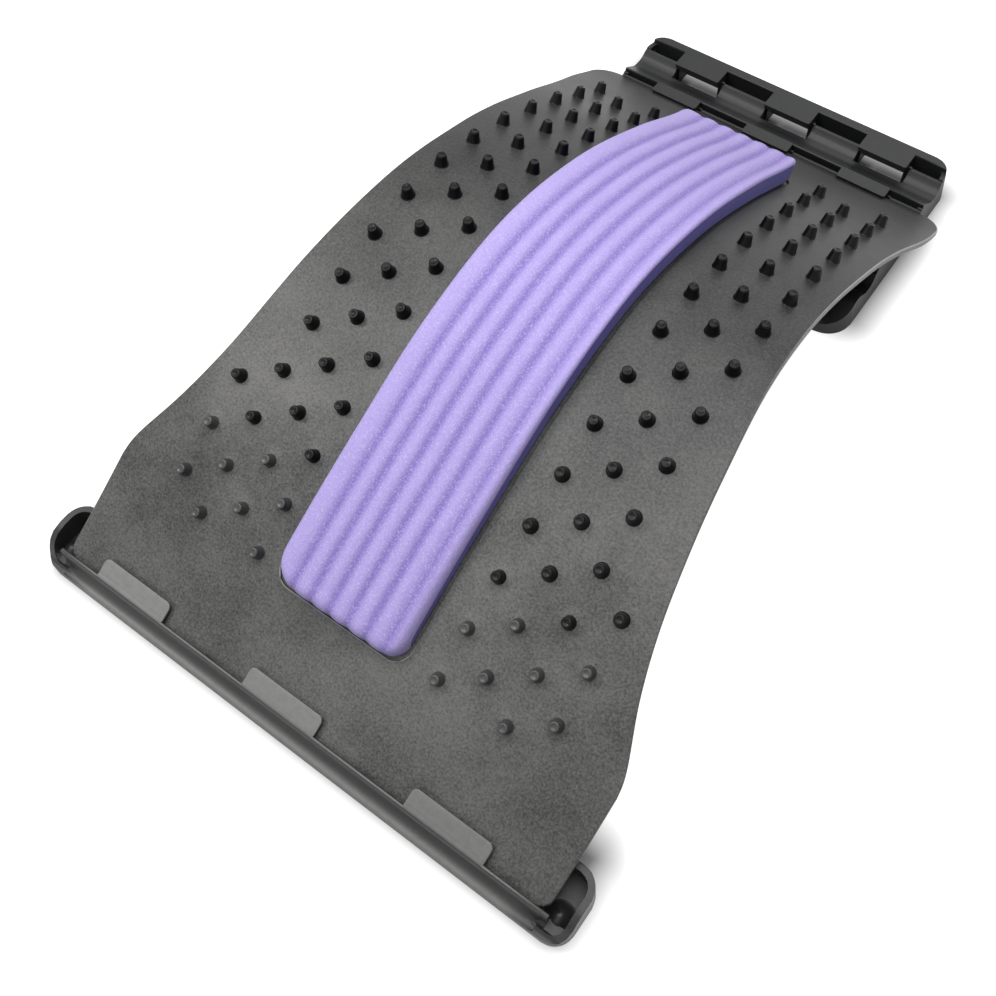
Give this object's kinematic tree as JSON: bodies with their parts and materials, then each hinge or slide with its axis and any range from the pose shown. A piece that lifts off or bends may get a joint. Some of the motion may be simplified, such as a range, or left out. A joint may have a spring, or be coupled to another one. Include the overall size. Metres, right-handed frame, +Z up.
{
  "type": "arched back stretcher",
  "caption": "Springy nubbed plate bowed between a wide bar and the slot rows of a narrow tray, with a ribbed foam pad down its middle, for stretching the back.",
  "frame": {"origin": "middle of the base's box, on the surface the base stands on", "axes": "+Z up, +Y from the wide near bar to the narrow tray with the slot rows, +X to the right across it"},
  "size_m": [0.255, 0.386, 0.0912],
  "materials": {
    "base_plastic": "satin charcoal moulding",
    "arch_plastic": "fine grained charcoal moulding",
    "foam": "matte closed-cell foam, lilac",
    "tape": "double-sided adhesive film"
  },
  "bodies": {
    "base": {"base_plate": "base_plastic"},
    "arch": {"arch_plate": "arch_plastic", "foam_pad": "foam", "pad_tape": "tape"}
  },
  "joints": [
    {"name": "arch_lift", "type": "slide", "parent": "base", "child": "arch", "axis": [0, 0, 1], "range_m": [0, 0.05], "deforming": ["arch_plate"]}
  ]
}
